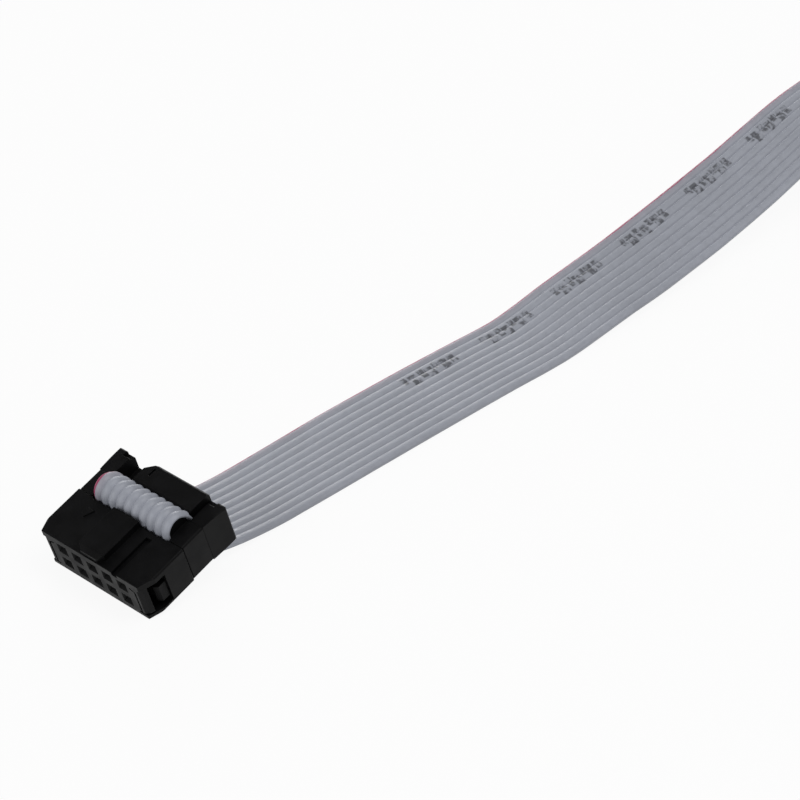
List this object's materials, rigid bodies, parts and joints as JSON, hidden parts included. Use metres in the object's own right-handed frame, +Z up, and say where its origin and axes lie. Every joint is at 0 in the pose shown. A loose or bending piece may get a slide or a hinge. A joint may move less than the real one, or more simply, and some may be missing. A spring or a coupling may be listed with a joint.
{
  "type": "ribbon cable",
  "caption": "Flat grey ribbon cable with a red-edged first conductor and a black keyed crimp-on socket with a strain relief on each end, for linking two pin headers.",
  "frame": {"origin": "middle of the cable, on the surface that it lies on", "axes": "+X along the cable from the near socket to the far one, +Y across it towards conductor 1, +Z up"},
  "size_m": [0.2302, 0.018, 0.0143],
  "materials": {
    "pvc": "satin grey flexible PVC with one red-printed edge conductor",
    "housing": "fine-textured moulded black plastic",
    "contact": "plated phosphor bronze strip"
  },
  "bodies": {
    "root": {"ribbon": "pvc", "near_ribbon_fold": "pvc", "far_ribbon_fold": "pvc", "near_socket_body": "housing", "near_cover": "housing", "near_strain_relief": "housing", "far_socket_body": "housing", "far_cover": "housing", "far_strain_relief": "housing", "near_contact_01": "contact", "near_contact_02": "contact", "near_contact_03": "contact", "near_contact_04": "contact", "near_contact_05": "contact", "near_contact_06": "contact", "near_contact_07": "contact", "near_contact_08": "contact", "near_contact_09": "contact", "near_contact_10": "contact", "far_contact_01": "contact", "far_contact_02": "contact", "far_contact_03": "contact", "far_contact_04": "contact", "far_contact_05": "contact", "far_contact_06": "contact", "far_contact_07": "contact", "far_contact_08": "contact", "far_contact_09": "contact", "far_contact_10": "contact"}
  },
  "joints": []
}
